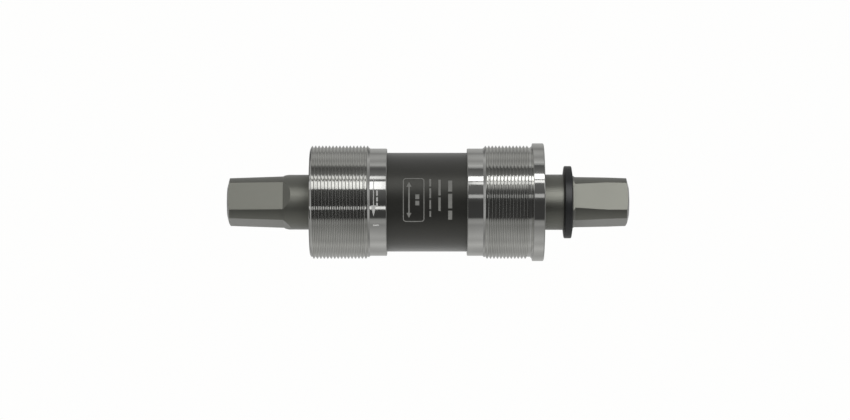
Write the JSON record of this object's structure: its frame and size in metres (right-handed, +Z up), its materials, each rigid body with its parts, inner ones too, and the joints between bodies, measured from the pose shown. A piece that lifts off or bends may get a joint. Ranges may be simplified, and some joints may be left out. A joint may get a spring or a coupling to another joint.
{
  "type": "bottom bracket",
  "caption": "Sealed cartridge for a bicycle frame's bottom bracket shell: a square-taper spindle on ball bearings in a tube, with a flanged threaded cup and a sliding threaded adapter.",
  "frame": {"origin": "centre of the 68 mm frame shell, on the spindle's axis", "axes": "+X along the spindle's axis towards the drive side (the flanged cup), +Z up"},
  "size_m": [0.1225, 0.036, 0.036],
  "materials": {
    "spindle_steel": "satin turned and milled steel",
    "black_ring_rubber": "finely textured black rubber",
    "black_coated_steel": "semi-matte black coating on drawn steel tube",
    "plated_steel": "bright plated, cut threads",
    "plain_steel": "drawn steel, lightly oiled",
    "bearing_steel": "ground bearing steel",
    "ball_steel": "polished bearing balls",
    "nylon": "natural nylon",
    "seal_rubber": "smooth black seal rubber"
  },
  "bodies": {
    "cartridge": {"cartridge_shell": "black_coated_steel", "drive_side_cup": "plated_steel", "bearing_spacer_sleeve": "plain_steel", "right_bearing_outer_ring": "bearing_steel", "left_bearing_outer_ring": "bearing_steel", "right_bearing_inboard_seal": "seal_rubber", "right_bearing_outboard_seal": "seal_rubber", "left_bearing_inboard_seal": "seal_rubber", "left_bearing_outboard_seal": "seal_rubber", "right_end_seal_case": "plain_steel", "left_end_seal_case": "plain_steel", "right_end_seal_lip": "seal_rubber", "left_end_seal_lip": "seal_rubber"},
    "spindle_body": {"spindle": "spindle_steel", "right_bearing_inner_ring": "bearing_steel", "left_bearing_inner_ring": "bearing_steel"},
    "right_ball_set": {"right_bearing_balls": "ball_steel", "right_bearing_cage": "nylon"},
    "left_ball_set": {"left_bearing_balls": "ball_steel", "left_bearing_cage": "nylon"},
    "left_adapter": {"left_adapter_cup": "plated_steel"},
    "dust_ring": {"spindle_dust_ring": "black_ring_rubber"}
  },
  "joints": [
    {"name": "spindle_spin", "type": "hinge", "parent": "cartridge", "child": "spindle_body", "pos_m": [0, 0, 0], "axis": [1, 0, 0], "continuous": true},
    {"name": "right_balls_orbit", "type": "hinge", "parent": "cartridge", "child": "right_ball_set", "pos_m": [0.02, 0, 0], "axis": [1, 0, 0], "continuous": true},
    {"name": "left_balls_orbit", "type": "hinge", "parent": "cartridge", "child": "left_ball_set", "pos_m": [-0.02, 0, 0], "axis": [1, 0, 0], "continuous": true},
    {"name": "left_adapter_slide", "type": "slide", "parent": "cartridge", "child": "left_adapter", "axis": [-1, 0, 0], "range_m": [0, 0.05]},
    {"name": "dust_ring_slide", "type": "slide", "parent": "spindle_body", "child": "dust_ring", "axis": [1, 0, 0], "range_m": [-0.005, 0.021]}
  ],
  "couplings": [
    {"joint": "right_balls_orbit", "follows": "spindle_spin", "ratio": 0.41219},
    {"joint": "left_balls_orbit", "follows": "spindle_spin", "ratio": 0.41219}
  ]
}
